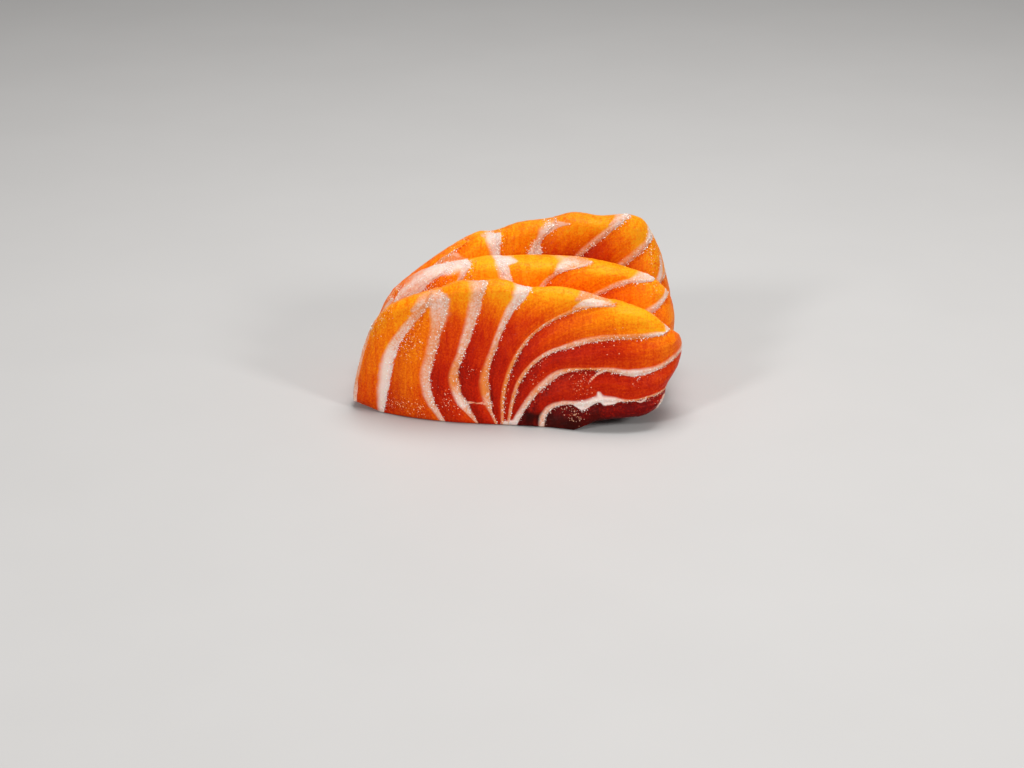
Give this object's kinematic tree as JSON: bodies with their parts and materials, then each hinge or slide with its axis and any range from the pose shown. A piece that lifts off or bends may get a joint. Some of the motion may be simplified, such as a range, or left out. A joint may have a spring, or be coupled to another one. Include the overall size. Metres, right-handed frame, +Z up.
{
  "type": "salmon sashimi",
  "caption": "Thick raw salmon slices standing on edge in a row and leaning back on one another, each with a fan of white fat lines over its cut face and a domed top.",
  "frame": {"origin": "middle of the row's footprint, on the surface it stands on", "axes": "+X along the slices to the right as seen from the front cut face, +Y back through the row, +Z up"},
  "size_m": [0.0734, 0.0452, 0.0392],
  "materials": {
    "slice_front": "moist raw salmon, red-orange with white fat lines",
    "slice_middle": "moist raw salmon, orange with white fat lines",
    "slice_back": "moist raw salmon, red-orange with white fat lines"
  },
  "bodies": {
    "root": {"slice_front": "slice_front", "slice_middle": "slice_middle", "slice_back": "slice_back"}
  },
  "joints": []
}
